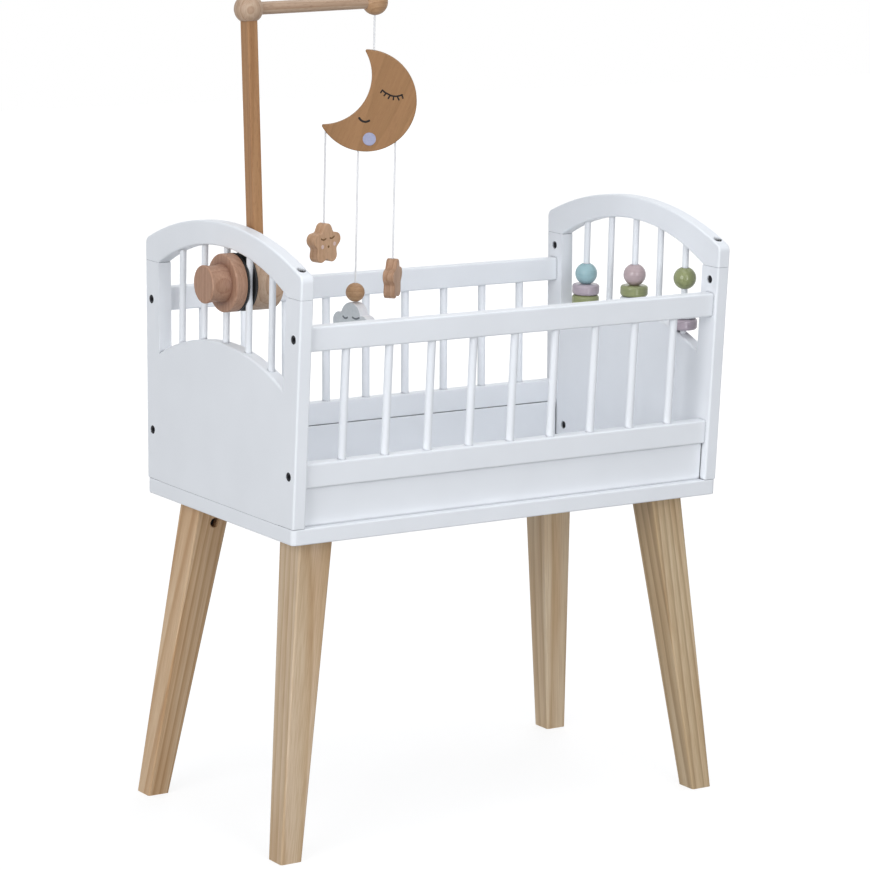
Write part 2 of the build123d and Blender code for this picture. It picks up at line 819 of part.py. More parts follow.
def cloud():
    """A cloud with a dome between two lobes and a level foot, hung by its dome."""
    foot = -cloud_height
    outline = Pos(0, -cloud_dome_radius) * Circle(cloud_dome_radius)
    for side in (-1, 1):
        outline += Pos(side * cloud_lobe_offset, foot + cloud_lobe_radius) * Circle(cloud_lobe_radius)
    base = Pos(0, foot + cloud_lobe_radius / 2) * Rectangle(2 * cloud_lobe_offset, cloud_lobe_radius)
    body = flat_shape(outline + base, cloud_thickness, cloud_edge)
    body = Pos(cloud_top) * Rot(0, 0, pendant_turn + cloud_turn) * body
    return body - string_hole(cloud_top, -1)


# All pieces by name


def wooden_bed():
    front_leg, front_post, head_arch, head_board = leg(), post(), arch(), end_board()
    head_spindles = group([spindle(y) for y in spindle_places])
    rail = side_rail(side_rail_top, rail_bolt_site)
    bar = side_rail(side_bar_top, bar_bolt_site)
    board = plank()
    dowels = side_frame_place * group([side_dowel(x) for x in side_dowel_places])
    return {
        "deck": deck(),
        "leg_front_head": front_leg,
        "leg_back_head": to_back(front_leg),
        "leg_front_foot": to_foot(front_leg),
        "leg_back_foot": to_foot(to_back(front_leg)),
        "head_front_post": front_post,
        "head_back_post": to_back(front_post),
        "foot_front_post": to_foot(front_post),
        "foot_back_post": to_foot(to_back(front_post)),
        "head_arch": head_arch,
        "foot_arch": to_foot(head_arch),
        "head_board": head_board,
        "foot_board": to_foot(head_board),
        "head_spindles": head_spindles,
        "foot_spindles": to_foot(head_spindles),
        "front_top_rail": rail,
        "back_top_rail": to_back(rail),
        "front_lower_bar": bar,
        "back_lower_bar": to_back(bar),
        "front_plank": board,
        "back_plank": to_back(board),
        "front_side_dowels": dowels,
        "back_side_dowels": to_back(dowels),
    }


def fasteners():
    plank_pins = [side_frame_place * pin(centre, (0, 0, 1)) for centre in plank_pin_centres()]
    pins = four_corners(pin(leg_pin_centre, (0, 0, 1)))
    for centre in board_pin_centres:
        pins += four_corners(pin(centre, (0, 1, 0)))
    pins += plank_pins + [to_back(piece) for piece in plank_pins]
    sites = (arch_bolt_site, rail_bolt_site, bar_bolt_site, deck_bolt_site, leg_bolt_site)
    nuts = [corner for site in sites for corner in four_corners(site.nut)]
    return {
        "joint_pins": group(pins),
        "barrel_nuts": group(nuts),
        "arch_bolts": group(four_corners(arch_bolt_site.bolt)),
        "side_bolts": group(four_corners(rail_bolt_site.bolt) + four_corners(bar_bolt_site.bolt)),
        "deck_bolts": group(four_corners(deck_bolt_site.bolt)),
        "leg_bolts": group(four_corners(leg_bolt_site.bolt)),
    }


def mobile():
    return {
        "clamp_knob": clamp_knob(),
        "knob_insert": knob_insert(),
        "outer_pad": clamp_pad(pad_outer),
        "inner_pad": clamp_pad(spindle_inner),
        "clamp_block": clamp_block(),
        "clamp_bolt": clamp_bolt(),
        "mast_post": mast_post(),
        "swivel_peg": swivel_peg(),
        "mast_ball": mast_ball(),
        "arm_rod": arm_bar(),
        "arm_end_ball": end_ball(),
        "moon_string": string(string_top, moon_top),
        "moon": moon(),
        "left_string": string(left_string_top, left_string_foot),
        "left_star": star(left_string_foot, left_star_turn),
        "middle_string": string(middle_string_top, cloud_top),
        "string_ball": string_ball(),
        "cloud": cloud(),
        "right_string": string(right_string_top, right_string_foot),
        "right_star": star(right_string_foot, right_star_turn),
    }


# The knob stands out furthest at the head end and the feet at the foot end
low_x = knob_face
high_x = half_length + leg_foot_reach_x
origin_shift = Pos(-(low_x + high_x) / 2, 0, 0)


def all_pieces():
    return {**wooden_bed(), **fasteners(), **beads(), **mobile()}


def main():
    os.makedirs("parts", exist_ok=True)
    pieces = all_pieces()
    for name, shape in pieces.items():
        moved = group([origin_shift * solid for solid in shape.solids()])
        export_step(moved, "parts/" + name + ".step")
    for top, foot in (
        (string_top, moon_top),
        (left_string_top, left_string_foot),
        (middle_string_top, middle_string_foot),
        (right_string_top, right_string_foot),
    ):
        print("free string", round(top.Z - foot.Z, 1), "mm, straight")
    print(len(pieces), "nodes")


main()
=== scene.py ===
# %% [markdown]
# # A doll's bed, dressed for the camera
# The bed is white lacquered wood on pine legs. A beech mobile is clamped to its head end,
# and painted beads slide on the spindles of its foot end.
# The solids already have the right shape, so most of this lesson is about finishes. New meshes
# are made only for what a plain solid can't show: the twist of the strings and painted faces.
# The frame comes first, because every new piece has to know which moving body carries it.

import json
import math

import bpy
from mathutils import Matrix, Vector


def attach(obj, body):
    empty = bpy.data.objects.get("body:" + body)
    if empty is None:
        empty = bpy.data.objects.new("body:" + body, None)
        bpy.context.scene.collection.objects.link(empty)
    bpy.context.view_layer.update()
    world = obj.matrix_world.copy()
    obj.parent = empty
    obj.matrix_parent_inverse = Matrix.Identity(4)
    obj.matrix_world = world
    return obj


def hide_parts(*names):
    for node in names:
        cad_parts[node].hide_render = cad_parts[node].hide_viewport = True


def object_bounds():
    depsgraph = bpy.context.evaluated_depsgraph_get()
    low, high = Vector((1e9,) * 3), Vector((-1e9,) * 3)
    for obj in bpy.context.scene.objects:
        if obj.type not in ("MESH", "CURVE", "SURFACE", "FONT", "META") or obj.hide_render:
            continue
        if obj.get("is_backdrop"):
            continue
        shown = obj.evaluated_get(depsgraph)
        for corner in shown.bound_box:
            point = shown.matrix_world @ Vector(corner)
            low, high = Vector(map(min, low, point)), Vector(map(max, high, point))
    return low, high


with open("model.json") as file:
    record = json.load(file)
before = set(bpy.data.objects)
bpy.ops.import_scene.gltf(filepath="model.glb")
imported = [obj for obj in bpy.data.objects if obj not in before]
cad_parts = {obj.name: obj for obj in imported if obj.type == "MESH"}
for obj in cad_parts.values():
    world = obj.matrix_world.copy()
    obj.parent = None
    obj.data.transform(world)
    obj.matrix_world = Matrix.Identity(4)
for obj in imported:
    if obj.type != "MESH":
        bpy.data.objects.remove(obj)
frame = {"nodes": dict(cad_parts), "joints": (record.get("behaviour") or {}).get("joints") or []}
solid_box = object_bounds()
scene = bpy.context.scene
joints = {joint["name"]: joint for joint in frame["joints"]}

# %% [markdown]
# ## The camera
# The photograph was taken from the head end's front corner, a little above the bed.
# A camera could be aimed at the bed with a constraint. Here its place, its turn and its focal
# length come from the bed's own parallel edges, so its matrix is written straight from them.
# A camera looks along its own -Z, so the matrix takes right, up and backwards as its columns.

# %% Camera
mm = 0.001
camera_place = Vector((-1898.0, -2800.16, 1036.73)) * mm
camera_yaw, camera_pitch, camera_roll = 0.59849, 0.19537, 0.0245
focal_length, sensor_width = 143.569, 36.0
near_clip, far_clip = 0.05, 60.0
upright = Vector((0, 0, 1))

forward = Vector(
    (
        math.sin(camera_yaw) * math.cos(camera_pitch),
        math.cos(camera_yaw) * math.cos(camera_pitch),
        -math.sin(camera_pitch),
    )
)
level_right = forward.cross(upright).normalized()
level_up = level_right.cross(forward)
right = math.cos(camera_roll) * level_right + math.sin(camera_roll) * level_up
up = math.cos(camera_roll) * level_up - math.sin(camera_roll) * level_right

camera_data = bpy.data.cameras.new("photo_camera")
camera_data.lens = focal_length
camera_data.sensor_width = sensor_width
camera_data.clip_start, camera_data.clip_end = near_clip, far_clip
camera = bpy.data.objects.new("photo_camera", camera_data)
scene.collection.objects.link(camera)
turned_axes = Matrix((right, up, -forward)).transposed()
camera.matrix_world = Matrix.Translation(camera_place) @ turned_axes.to_4x4()
scene.camera = camera
print("camera", [round(value, 3) for value in camera_place])

# %% [markdown]
# ## Colours and nodes
# A colour is written as an sRGB hex value, the way it looks in the photograph. Shaders work in
# linear light, so one function turns it to linear.
# Materials could be built by hand in the shader editor. In a script, one helper that adds any
# node and fills its inputs keeps a recipe short enough to read.


# %% Colours
def linear(hex_colour):
    """Linear colour from an sRGB hex value."""
    channels = [int(hex_colour[i : i + 2], 16) / 255 for i in (0, 2, 4)]
    return [c / 12.92 if c <= 0.04045 else ((c + 0.055) / 1.055) ** 2.4 for c in channels] + [1.0]


print("the sRGB grey 808080 is", round(linear("808080")[0], 3), "in linear light")


# %% Nodes
def fill(tree, node, inputs):
    """Fills a node's inputs, each with a value or with a link."""
    for name, value in inputs.items():
        if isinstance(value, bpy.types.NodeSocket):
            tree.links.new(value, node.inputs[name])
        else:
            node.inputs[name].default_value = value


def add_node(tree, kind, inputs=None, stops=(), **settings):
    """Adds a node, sets its settings and its colour stops, and fills its inputs."""
    node = tree.nodes.new(kind)
    for name, value in settings.items():
        setattr(node, name, value)
    elements = node.color_ramp.elements if stops else []
    while len(elements) < len(stops):
        elements.new(0.5)
    for element, (place, colour) in zip(elements, stops):
        element.position = place
        element.color = linear(colour)
    fill(tree, node, inputs or {})
    return node


# Settings of a Mix node in which one colour shades another.
multiply = {"data_type": "RGBA", "blend_type": "MULTIPLY"}
print("one colour shades another by", multiply["blend_type"])


# %% Materials
def start_material(name):
    """An empty node material with its shader, and its Object coordinates."""
    material = bpy.data.materials.new(name)
    material.use_nodes = True
    tree = material.node_tree
    tree.nodes.clear()
    shader = add_node(tree, "ShaderNodeBsdfPrincipled")
    add_node(tree, "ShaderNodeOutputMaterial", {"Surface": shader.outputs["BSDF"]})
    place = add_node(tree, "ShaderNodeTexCoord").outputs["Object"]
    return material, tree, shader, place


def per_mm(size):
    """Texture scale that repeats once in a size in millimetres."""
    return 1000 / size


def mottle(tree, place, size, detail, stops, squeeze=None):
    """Noise of a size in millimetres: its factor, and the colours that it runs through."""
    # Coordinates squeezed along an axis draw the pattern out along it.
    if squeeze:
        place = add_node(tree, "ShaderNodeMapping", {"Vector": place, "Scale": squeeze}).outputs[0]
    spots = {"Vector": place, "Scale": per_mm(size), "Detail": detail}
    factor = add_node(tree, "ShaderNodeTexNoise", spots).outputs["Fac"]
    return factor, add_node(tree, "ShaderNodeValToRGB", {"Fac": factor}, stops).outputs["Color"]


def dress(names, material):
    """Gives nodes of the bed one material."""
    for name in names:
        data = frame["nodes"][name].data
        data.materials.clear()
        data.materials.append(material)


print("a pattern of 2 mm has the texture scale", per_mm(2.0))

# %% [markdown]
# ## The strings
# Four thin cotton strings carry the moon, the stars and the cloud. Each hangs straight down.
# A smooth tube would do from afar, but a cord shows its twist, and a bump on a tube leaves the
# outline smooth. So a Geometry Nodes tree lays a three-strand profile along a NURBS curve.
# The curve's tilt grows with its length, and that twist makes a cord of a plain tube.

# %% Cotton
# Twisted cotton yarn: its loose fibres scatter the light, so it looks soft and dull.
# Real fibres are finer than a pixel, so the fluff is drawn 0.8 mm wide.
string_width, string_pitch, string_hidden, string_step = 2.0, 4.0, 3.0, 0.5
fluff_size, fluff_height = 0.8, 0.1

cotton, tree, shader, place = start_material("twisted_cotton")
fluff, cotton_white = mottle(tree, place, fluff_size, 3.0, [(0.3, "F0F0F1"), (0.7, "FBFBFB")])
fibres = add_node(
    tree, "ShaderNodeBump", {"Height": fluff, "Strength": 0.5, "Distance": fluff_height * mm}
)
cotton_finish = {
    "Base Color": cotton_white,
    "Roughness": 0.9,
    "Sheen Weight": 0.3,
    "Normal": fibres.outputs["Normal"],
}
fill(tree, shader, cotton_finish)
print("cotton", len(tree.nodes), "nodes")


# %% Start and end of a tree
def start_tree(name, numbers):
    """A Geometry Nodes tree with its input node and the socket names of its sizes."""
    tree = bpy.data.node_groups.new(name, "GeometryNodeTree")
    interface = tree.interface
    interface.new_socket("Geometry", in_out="INPUT", socket_type="NodeSocketGeometry")
    for label, value in numbers.items():
        socket = interface.new_socket(label, in_out="INPUT", socket_type="NodeSocketFloat")
        socket.default_value = value
    interface.new_socket("Geometry", in_out="OUTPUT", socket_type="NodeSocketGeometry")
    sockets = {item.name: item.identifier for item in interface.items_tree if item.in_out == "INPUT"}
    return tree, add_node(tree, "NodeGroupInput"), sockets


def end_tree(tree, mesh, material):
    """Realised mesh with its material at the tree's output."""
    real = add_node(tree, "GeometryNodeRealizeInstances", {"Geometry": mesh})
    dressed = add_node(
        tree, "GeometryNodeSetMaterial", {"Geometry": real.outputs[0], "Material": material}
    )
    add_node(tree, "NodeGroupOutput", {"Geometry": dressed.outputs[0]})


# %% Twist along the cord
# The tilt at a place is its distance along the curve, in pitches, times a full turn.
cord_sizes = {"Radius": string_width / 2 * mm, "Pitch": string_pitch * mm}
cord_numbers = {**cord_sizes, "Step": string_step * mm}
cord_tree, given, cord_sockets = start_tree("twisted_cord", cord_numbers)

line = add_node(
    cord_tree,
    "GeometryNodeResampleCurve",
    {"Curve": given.outputs["Geometry"], "Length": given.outputs["Step"]},
    mode="LENGTH",
)
along = add_node(cord_tree, "GeometryNodeSplineParameter")
turns = add_node(
    cord_tree,
    "ShaderNodeMath",
    {0: along.outputs["Length"], 1: given.outputs["Pitch"]},
    operation="DIVIDE",
)
tilt = add_node(
    cord_tree, "ShaderNodeMath", {0: turns.outputs[0], 1: 2 * math.pi}, operation="MULTIPLY"
)
twisted = add_node(
    cord_tree, "GeometryNodeSetCurveTilt", {"Curve": line.outputs[0], "Tilt": tilt.outputs[0]}
)
print("one turn every", string_pitch, "mm")

# %% Three strands in the cord's profile
# A circle's points are drawn in and out by a wave that has one crest for each strand.
strands, groove, profile_points = 3.0, 0.13, 18

circle = add_node(
    cord_tree,
    "GeometryNodeCurvePrimitiveCircle",
    {"Resolution": profile_points, "Radius": given.outputs["Radius"]},
)
spot = add_node(cord_tree, "GeometryNodeInputPosition")
axes = add_node(cord_tree, "ShaderNodeSeparateXYZ", {0: spot.outputs[0]})
angle = add_node(
    cord_tree,
    "ShaderNodeMath",
    {0: axes.outputs["Y"], 1: axes.outputs["X"]},
    operation="ARCTAN2",
)
lobes = add_node(
    cord_tree, "ShaderNodeMath", {0: angle.outputs[0], 1: strands}, operation="MULTIPLY"
)
wave = add_node(cord_tree, "ShaderNodeMath", {0: lobes.outputs[0]}, operation="COSINE")
swell = add_node(
    cord_tree,
    "ShaderNodeMath",
    {0: wave.outputs[0], 1: groove, 2: 1 - groove},
    operation="MULTIPLY_ADD",
)
drawn = add_node(
    cord_tree,
    "ShaderNodeVectorMath",
    {0: spot.outputs[0], "Scale": swell.outputs[0]},
    operation="SCALE",
)
profile = add_node(
    cord_tree,
    "GeometryNodeSetPosition",
    {"Geometry": circle.outputs[0], "Position": drawn.outputs["Vector"]},
)
tube = add_node(
    cord_tree,
    "GeometryNodeCurveToMesh",
    {"Curve": twisted.outputs[0], "Profile Curve": profile.outputs[0], "Fill Caps": True},
)
end_tree(cord_tree, tube.outputs[0], cotton)
print("cord tree", len(cord_tree.nodes), "nodes")


# %% From a curve to a plain mesh
def nurbs_line(name, points):
    """Open NURBS curve of order 3 that starts and ends on its end points."""
    curve = bpy.data.curves.new(name, "CURVE")
    curve.dimensions = "3D"
    spline = curve.splines.new("NURBS")
    spline.points.add(len(points) - 1)
    for control, point in zip(spline.points, points):
        control.co = (*point, 1.0)
    spline.order_u = 3
    spline.use_endpoint_u = True
    curve_object = bpy.data.objects.new(name, curve)
    scene.collection.objects.link(curve_object)
    return curve_object


def evaluated_mesh(thing, name):
    """Plain mesh of an object as its modifiers leave it."""
    bpy.context.view_layer.update()
    graph = bpy.context.evaluated_depsgraph_get()
    mesh = bpy.data.meshes.new_from_object(thing.evaluated_get(graph))
    mesh.name = name
    return mesh


def grown_mesh(curve_object, tree, sockets, sizes):
    """Plain mesh that a tree grows on a curve, which is then removed."""
    modifier = curve_object.modifiers.new("grow", "NODES")
    modifier.node_group = tree
    for label, value in sizes.items():
        modifier[sockets[label]] = value
    mesh = evaluated_mesh(curve_object, curve_object.name)
    bpy.data.objects.remove(curve_object)
    return mesh


def add_piece(name, mesh, body):
    """New piece that rides on a moving body."""
    piece = bpy.data.objects.new(name, mesh)
    scene.collection.objects.link(piece)
    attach(piece, body)
    return piece


# %% Lay the strings
# Each end runs a little way into its piece, as a knotted string does.
route_shares = (0, 0.1, 0.5, 0.9, 1)


def hang_string(node, top_joint, foot_joint):
    """Twisted cord from the joint that it swings at to the joint of what it carries."""
    hidden = Vector((0, 0, string_hidden * mm))
    top = Vector(joints[top_joint]["pos_m"]) + hidden
    foot = Vector(joints[foot_joint]["pos_m"]) - hidden
    route = nurbs_line(node + "_cord", [top.lerp(foot, share) for share in route_shares])
    path = [tuple(vertex.co) for vertex in evaluated_mesh(route, node + "_path").vertices]
    mesh = grown_mesh(route, cord_tree, cord_sockets, cord_sizes)
    piece = add_piece(node + "_cord", mesh, node)
    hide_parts(node)


hang_string("moon_string", "moon_swing", "moon_turn")
hang_string("left_string", "left_swing", "left_star_turn")
hang_string("middle_string", "middle_swing", "cloud_turn")
hang_string("right_string", "right_swing", "right_star_turn")

# %% [markdown]
# ## White lacquer
# The bed is sprayed with a satin polyurethane lacquer over a primer, so no grain shows.
# What the eye gets is a soft, slightly uneven gloss and the fine pebbling that spraying leaves.
# A flat white would look like plastic, so one noise varies the white and the gloss, and a finer
# one raises pebbles of about a millimetre, which only show in close views.
# The walls of the drilled holes get a near-black painted shade, and the seams between pieces a grey
# painted shade.
# Both could be painted by hand, but Ambient Occlusion nodes find them: they tell how much open
# air is around a point. The one for the holes looks at its own piece only, and the one for the
# seams at its neighbours too.

# %% White lacquer
lacquer_pebble, pebble_height, lacquer_patch = 1.2, 0.02, 70.0
hole_reach, seam_reach, hole_shade_edge, air_rays = 9.0, 4.0, 0.07, 8


def white_lacquer(name, hole_shade_below):
    """Sprayed white, with painted shade in holes where less air than a share is open around a point,
    and in seams.
    """
    material, tree, shader, place = start_material(name)
    white_stops = [(0.3, "F0F2F5"), (0.7, "F4F6F9")]
    patches, sprayed = mottle(tree, place, lacquer_patch, 2.0, white_stops)
    in_hole = add_node(
        tree,
        "ShaderNodeAmbientOcclusion",
        {"Distance": hole_reach * mm},
        samples=air_rays,
        only_local=True,
    )
    # Painted shade: hole walls turn near black where little air is open around them.
    hole_shade_stops = [(hole_shade_below, "2C2622"), (hole_shade_below + hole_shade_edge, "FFFFFF")]
    hole_shade = add_node(tree, "ShaderNodeValToRGB", {"Fac": in_hole.outputs["AO"]}, hole_shade_stops)
    in_seam = add_node(
        tree, "ShaderNodeAmbientOcclusion", {"Distance": seam_reach * mm}, samples=air_rays
    )
    # Painted shade: the seams between pieces turn grey where neighbours close in around them.
    seam_shade_stops = [(0.2, "808388"), (0.78, "FFFFFF")]
    seam_shade = add_node(tree, "ShaderNodeValToRGB", {"Fac": in_seam.outputs["AO"]}, seam_shade_stops)
    hole_and_seam_shade = {0: 1.0, 6: hole_shade.outputs["Color"], 7: seam_shade.outputs["Color"]}
    shade = add_node(tree, "ShaderNodeMix", hole_and_seam_shade, **multiply).outputs[2]
    shaded = {0: 1.0, 6: sprayed, 7: shade}
    gloss = add_node(
        tree, "ShaderNodeMapRange", {"Value": patches, "To Min": 0.34, "To Max": 0.46}
    )
    pebbles = add_node(
        tree,
        "ShaderNodeTexNoise",
        {"Vector": place, "Scale": per_mm(lacquer_pebble), "Detail": 2.0},
    )
    skin = add_node(
        tree,
        "ShaderNodeBump",
        {"Height": pebbles.outputs["Fac"], "Strength": 0.15, "Distance": pebble_height * mm},
    )
    finish = {
        "Base Color": add_node(tree, "ShaderNodeMix", shaded, **multiply).outputs[2],
        "Roughness": gloss.outputs["Result"],
        "Specular IOR Level": 0.3,
        "Normal": skin.outputs["Normal"],
    }
    fill(tree, shader, finish)
    return material


# %% Lacquered pieces
# The bolts lie deeper in the arches, so the painted shade starts nearer to the mouth of their holes.
hole_shade_air, hole_shade_air_in_arches = 0.43, 0.56
frame_ends = ("_arch", "_board", "_spindles", "_front_post", "_back_post")
side_ends = ("_top_rail", "_lower_bar", "_plank", "_side_dowels")

lacquer = white_lacquer("satin_white_lacquer", hole_shade_air)
lacquered = [name for name in frame["nodes"] if name.endswith(frame_ends + side_ends)]
dress(["deck"] + lacquered, lacquer)
arch_lacquer = white_lacquer("satin_white_lacquer_arches", hole_shade_air_in_arches)
dress(["head_arch", "foot_arch"], arch_lacquer)
print("lacquered", 1 + len(lacquered), "pieces")

# %% [markdown]
# ## Wood
# Wood is sawn from a round log, so its yearly rings run along a bar as long bands.
# A flat picture of boards would show the same bands on every face, and no end grain.
# So the texture is the log itself: rings round a pith line beside the bar, bent a little by
# noise. A Mapping node turns each bar's own axis upright first, so one pattern serves bars at
# any slant.


# %% The log that a bar is cut from
def log_coordinates(tree, place, start, along, pith):
    """Coordinates in which the bar's axis is upright and the pith is at zero."""
    turn = along.normalized().rotation_difference(upright)
    shift = Vector((pith[0] * mm, pith[1] * mm, 0)) - turn @ start
    turned = {"Vector": place, "Rotation": turn.to_euler(), "Location": shift}
    return add_node(tree, "ShaderNodeMapping", turned, vector_type="POINT").outputs[0]


# %% Yearly rings
def yearly_rings(tree, log, width, bend_size, bend_share, bend):
    """Place within a year's growth, 0 in spring and 1 in autumn."""
    slow = add_node(tree, "ShaderNodeMapping", {"Vector": log, "Scale": (1.0, 1.0, bend_share)})
    waves = add_node(
        tree,
        "ShaderNodeTexNoise",
        {"Vector": slow.outputs[0], "Scale": per_mm(bend_size), "Detail": 2.0},
    )
    centred = add_node(
        tree,
        "ShaderNodeVectorMath",
        {0: waves.outputs["Color"], 1: (0.5, 0.5, 0.5)},
        operation="SUBTRACT",
    )
    moved = add_node(
        tree, "ShaderNodeVectorMath", {0: centred.outputs[0], "Scale": bend * mm}, operation="SCALE"
    )
    bent = add_node(tree, "ShaderNodeVectorMath", {0: log, 1: moved.outputs[0]}, operation="ADD")
    flat = add_node(
        tree, "ShaderNodeVectorMath", {0: bent.outputs[0], 1: (1.0, 1.0, 0.0)}, operation="MULTIPLY"
    )
    reach = add_node(tree, "ShaderNodeVectorMath", {0: flat.outputs[0]}, operation="LENGTH")
    years = add_node(
        tree, "ShaderNodeMath", {0: reach.outputs["Value"], 1: per_mm(width)}, operation="MULTIPLY"
    )
    return add_node(tree, "ShaderNodeMath", {0: years.outputs[0]}, operation="FRACT").outputs[0]


# %% [markdown]
# ## Pine legs
# The legs are pine, planed and varnished. The eye gets pale spring wood, warmer autumn lines, a
# fine grain along the leg and a dull varnish that is glossier where the wood is dense.
# One material could serve all four, but then their rings would match like prints. Each leg is cut
# from a log of its own, with its own pith, ring width and tint. The back foot leg's paler tint is
# partly painted light, which makes up for the shade under the bed.

# %% Pine
# Real fibres are thinner than a pixel, so they are drawn 0.9 mm wide.
pine_fibre, pine_pore, pine_patch = 0.9, 0.05, 22.0
fibre_squeeze, patch_squeeze = (1.0, 1.0, 0.012), (1.0, 1.0, 0.1)


def pine(name, start, along, pith, shades, ring):
    """Varnished pine with rings of a width, from three shades."""
    material, tree, shader, place = start_material(name)
    log = log_coordinates(tree, place, start, along, pith)
    season = yearly_rings(tree, log, ring, bend_size=34.0, bend_share=0.08, bend=9.0)
    spring, summer, autumn = shades
    year = [(0.0, spring), (0.5, summer), (0.86, autumn), (1.0, spring)]
    rings = add_node(tree, "ShaderNodeValToRGB", {"Fac": season}, year).outputs["Color"]
    fibre_stops = [(0.38, "EFE9E2"), (0.6, "FFFFFF")]
    warm_stops = [(0.35, "EFE4D6"), (0.62, "FFFFFF")]
    grain, fibres = mottle(tree, log, pine_fibre, 3.0, fibre_stops, fibre_squeeze)
    warmth = mottle(tree, log, pine_patch, 1.0, warm_stops, patch_squeeze)[1]
    grained = add_node(tree, "ShaderNodeMix", {0: 0.9, 6: rings, 7: fibres}, **multiply).outputs[2]
    warmed = {0: 0.9, 6: grained, 7: warmth}
    gloss = add_node(tree, "ShaderNodeMapRange", {"Value": grain, "To Min": 0.42, "To Max": 0.58})
    pores = add_node(
        tree, "ShaderNodeBump", {"Height": grain, "Strength": 0.25, "Distance": pine_pore * mm}
    )
    finish = {
        "Base Color": add_node(tree, "ShaderNodeMix", warmed, **multiply).outputs[2],
        "Roughness": gloss.outputs["Result"],
        "Normal": pores.outputs["Normal"],
    }
    fill(tree, shader, finish)
    return material


print("pine fibres", pine_fibre, "mm wide")


# %% Legs, each cut from its own log
def bar_ends(name, shave=1.0):
    """Middles of the lowest and the highest edge of a slanting bar."""
    corners = [vertex.co for vertex in frame["nodes"][name].data.vertices]
    heights = [corner.z for corner in corners]
    ends = []
    for level in (min(heights), max(heights)):
        near = [corner for corner in corners if abs(corner.z - level) < shave * mm]
        ends.append(sum(near, Vector()) / len(near))
    return ends


leg_logs = {
    "leg_front_head": ((26.0, -38.0), ("D7C0A4", "D0B899", "C4A885"), 9.0),
    "leg_back_head": ((-60.0, 24.0), ("E2C5A2", "D8B893", "C6A077"), 7.6),
    "leg_front_foot": ((48.0, 34.0), ("D9C4A4", "CDB795", "B59D7C"), 8.0),
    # The back foot leg's paler shades are partly painted light: they make up for the shade it stands
    # in under the bed.
    "leg_back_foot": ((-34.0, -52.0), ("F2DDBF", "EAD3B3", "DABF9B"), 8.6),
}
for name, (pith, shades, ring) in leg_logs.items():
    foot, head = bar_ends(name)
    dress([name], pine("pine_" + name, foot, head - foot, pith, shades, ring))
    print(name, "axis", [round(value, 3) for value in (head - foot).normalized()])

# %% [markdown]
# ## Beech mobile
# The mobile and its clamp are oiled beech: an even pinkish brown, faint rings and short dark
# flecks along the grain. Inner corners, such as the one between the knob's stem and its flange,
# get a painted shade.
# The rings are drawn by the same function as the pine's, and two noises drawn out along the bar
# give the flecks and the veins. Painted shade put in corners by hand would be lost when a piece
# changes, so an Ambient Occlusion node that looks at its own piece finds them.

# %% Beech
# Real flecks are thinner than a pixel, so they are drawn 0.8 mm wide.
beech_ring, beech_fleck, beech_pore, beech_vein, corner_shade_reach = 5.0, 0.8, 0.04, 2.6, 14.0
fleck_squeeze, vein_squeeze = (1.0, 1.0, 0.13), (1.0, 1.0, 0.03)


def beech(name, start, along, pith, shades, fleck=0.3, vein=0.45):
    """Oiled beech, with the strength of its flecks and veins, and painted shade in its inner
    corners.
    """
    material, tree, shader, place = start_material(name)
    log = log_coordinates(tree, place, start, along, pith)
    season = yearly_rings(tree, log, beech_ring, bend_size=26.0, bend_share=0.12, bend=6.0)
    spring, summer, autumn = shades
    year = [(0.0, spring), (0.7, summer), (0.92, autumn), (1.0, spring)]
    rings = add_node(tree, "ShaderNodeValToRGB", {"Fac": season}, year).outputs["Color"]
    fleck_stops = [(0.3, "A98E76"), (0.44, "FFFFFF")]
    vein_stops = [(0.34, "E0D2C4"), (0.62, "FFFFFF")]
    flecks, specks = mottle(tree, log, beech_fleck, 1.0, fleck_stops, fleck_squeeze)
    veins = mottle(tree, log, beech_vein, 2.0, vein_stops, vein_squeeze)[1]
    corner = add_node(
        tree,
        "ShaderNodeAmbientOcclusion",
        {"Distance": corner_shade_reach * mm},
        samples=air_rays,
        only_local=True,
    )
    # Painted shade: inner corners of the piece, such as the knob's stem and flange or the star's
    # notches, turn darker.
    corner_shade_stops = [(0.4, "8C6555"), (0.92, "FFFFFF")]
    corner_shade = add_node(tree, "ShaderNodeValToRGB", {"Fac": corner.outputs["AO"]}, corner_shade_stops)
    veined = add_node(tree, "ShaderNodeMix", {0: vein, 6: rings, 7: veins}, **multiply).outputs[2]
    grained = {0: fleck, 6: veined, 7: specks}
    with_corner_shade = {
        0: 1.0,
        6: add_node(tree, "ShaderNodeMix", grained, **multiply).outputs[2],
        7: corner_shade.outputs["Color"],
    }
    gloss = add_node(tree, "ShaderNodeMapRange", {"Value": flecks, "To Min": 0.45, "To Max": 0.6})
    pores = add_node(
        tree, "ShaderNodeBump", {"Height": flecks, "Strength": 0.2, "Distance": beech_pore * mm}
    )
    finish = {
        "Base Color": add_node(tree, "ShaderNodeMix", with_corner_shade, **multiply).outputs[2],
        "Roughness": gloss.outputs["Result"],
        "Normal": pores.outputs["Normal"],
    }
    fill(tree, shader, finish)
    return material


print("beech flecks", beech_fleck, "mm wide")


# %% Pieces of beech, each with a grain direction and a pith of its own
# The wooden pins inside the bed are beech too.
mast_foot, mast_head = bar_ends("mast_post")
arm_from, arm_to = Vector(joints["arm_swivel"]["pos_m"]), Vector(joints["moon_swing"]["pos_m"])
along_bed = Vector((1, 0, 0))
knob_place = Vector(joints["knob_turn"]["pos_m"])
star_place = Vector(joints["left_star_turn"]["pos_m"])
mast_shades = ("AE8258", "A87B50", "A0744A")
beech_shades = ("BA9570", "B38D68", "A8815B")
grey_beech = ("C0A78F", "B89C84", "AC8E74")
knob_shades = ("B48E76", "AD876F", "A47C64")
left_star_shades = ("D0AA88", "CAA280", "C29876")
right_star_shades = ("BA967A", "B08A6C", "A27A5A")

